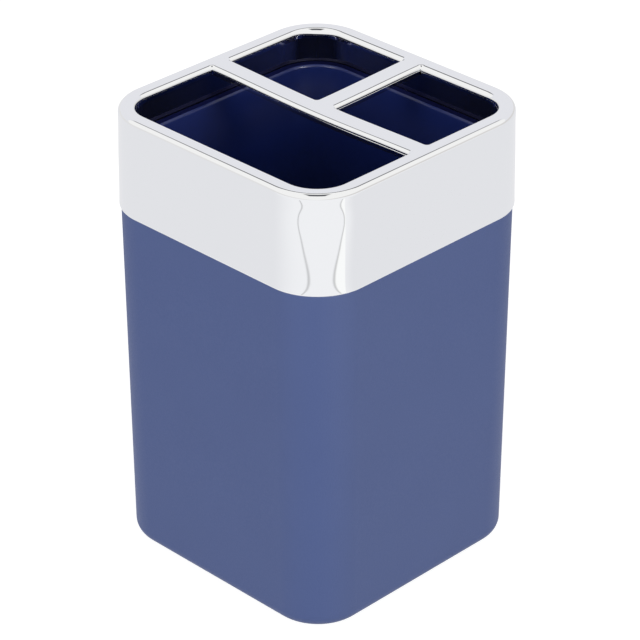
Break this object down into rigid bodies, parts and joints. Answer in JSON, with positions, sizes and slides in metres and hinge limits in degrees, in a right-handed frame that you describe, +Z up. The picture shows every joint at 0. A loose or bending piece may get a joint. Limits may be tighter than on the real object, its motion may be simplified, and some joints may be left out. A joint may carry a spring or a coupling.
{
  "type": "toothbrush holder",
  "caption": "Square free-standing toothbrush holder: a hollow matte cup under a lift-off plated cap with a large opening and small ones, on non-slip pads.",
  "frame": {"origin": "on the table under the middle of the holder, in the plane of the four pads' undersides", "axes": "+Z up, -Y towards the side with the large opening, +X along the long bar, with the short bar on the +Y side"},
  "size_m": [0.0708, 0.0708, 0.112],
  "materials": {
    "cup_plastic": "matte slate blue outside, smoother and darker navy inside",
    "cap_plating": "bright chrome plating on moulded plastic",
    "pad_foam": "dark closed-cell foam rubber, matte"
  },
  "bodies": {
    "holder": {"cup": "cup_plastic", "pad_front_left": "pad_foam", "pad_front_right": "pad_foam", "pad_back_left": "pad_foam", "pad_back_right": "pad_foam"},
    "cap": {"cap": "cap_plating"}
  },
  "joints": [
    {"name": "cap_lift", "type": "slide", "parent": "holder", "child": "cap", "axis": [0, 0, 1], "range_m": [0, 0.03]}
  ]
}
